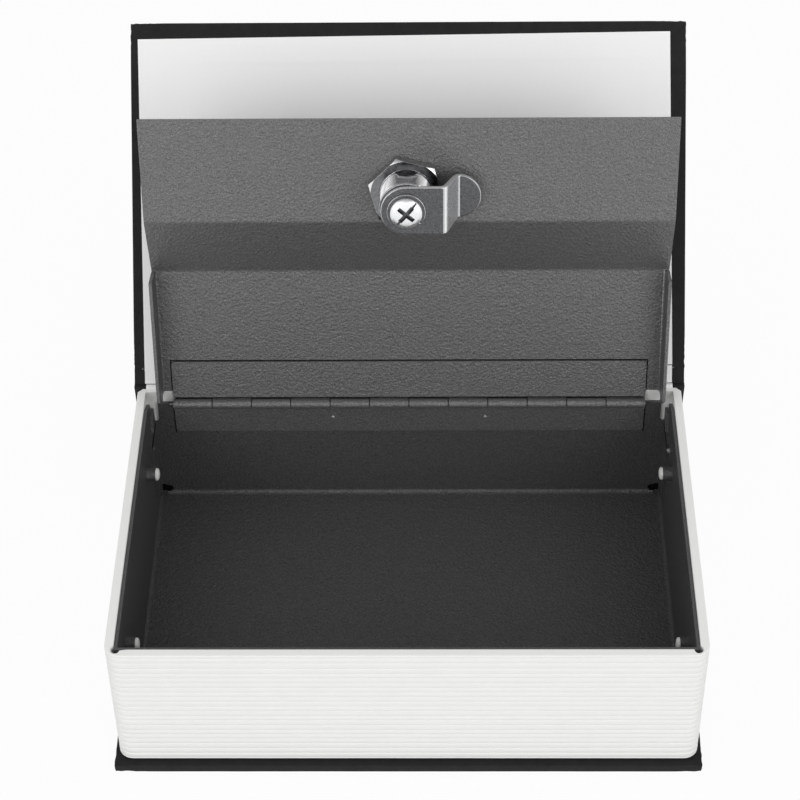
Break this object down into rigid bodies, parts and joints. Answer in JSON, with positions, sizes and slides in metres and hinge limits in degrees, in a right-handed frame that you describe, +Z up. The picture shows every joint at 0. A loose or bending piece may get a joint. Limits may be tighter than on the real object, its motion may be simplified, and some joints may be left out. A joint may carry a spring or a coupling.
{
  "type": "book diversion safe",
  "caption": "Imitation hardback book whose moulded page block holds a steel cash tray, closed by a hinged steel lid with a key-operated cam lock.",
  "frame": {"origin": "centre of the bottom board's underside, on the surface that the book rests on", "axes": "+Z up out of the book, +Y from the fore edge towards the spine, +X to the right as seen from the fore edge; the lid and the cover stand open at rest, and their hinges run along X"},
  "size_m": [0.18, 0.1946, 0.1518],
  "materials": {
    "book_cloth": "satin",
    "binders_board": "matte",
    "endpaper": "matte",
    "page_moulding": "satin",
    "hammer_paint": "satin",
    "rivet_plastic": "satin",
    "plated_zinc": "polished",
    "zinc_steel": "satin",
    "wafer_brass": "satin"
  },
  "bodies": {
    "case": {"case_cloth": "book_cloth", "bottom_board": "binders_board", "bottom_paper": "endpaper", "spine_board": "binders_board", "page_shell": "page_moulding", "steel_tray": "hammer_paint", "hinge_pin": "zinc_steel", "front_ledge": "hammer_paint", "tray_rivet_front_left": "rivet_plastic", "tray_rivet_back_left": "rivet_plastic", "tray_rivet_front_right": "rivet_plastic", "tray_rivet_back_right": "rivet_plastic", "tray_leaf": "hammer_paint"},
    "lid": {"steel_lid": "hammer_paint", "lid_leaf": "hammer_paint", "lock_housing": "plated_zinc", "lock_nut": "plated_zinc"},
    "lock_core": {"lock_plug": "plated_zinc", "stop_washer": "zinc_steel", "lock_cam": "zinc_steel", "spring_washer": "zinc_steel", "cam_screw": "zinc_steel", "wafer_1": "wafer_brass", "wafer_2": "wafer_brass", "wafer_3": "wafer_brass", "wafer_4": "wafer_brass", "wafer_5": "wafer_brass"},
    "cover_joint": {"joint_cloth": "book_cloth"},
    "cover": {"cover_cloth": "book_cloth", "cover_board": "binders_board", "cover_paper": "endpaper"}
  },
  "joints": [
    {"name": "lid_hinge", "type": "hinge", "parent": "case", "child": "lid", "pos_m": [0, 0.0523, 0.0496], "axis": [1, 0, 0], "range_deg": [0, 104]},
    {"name": "plug_turn", "type": "hinge", "parent": "lid", "child": "lock_core", "pos_m": [0, 0.06377, 0.12909], "axis": [0, -0.9703, 0.2419], "range_deg": [0, 90]},
    {"name": "spine_crease", "type": "hinge", "parent": "case", "child": "cover_joint", "pos_m": [0, 0.0583, 0.05335], "axis": [1, 0, 0], "range_deg": [0, 130.1]},
    {"name": "board_crease", "type": "hinge", "parent": "cover_joint", "child": "cover", "pos_m": [0, 0.061, 0.05656], "axis": [-1, 0, 0], "range_deg": [0, 75]}
  ],
  "couplings": [
    {"joint": "spine_crease", "follows": "lid_hinge", "ratio": 1.25}
  ]
}
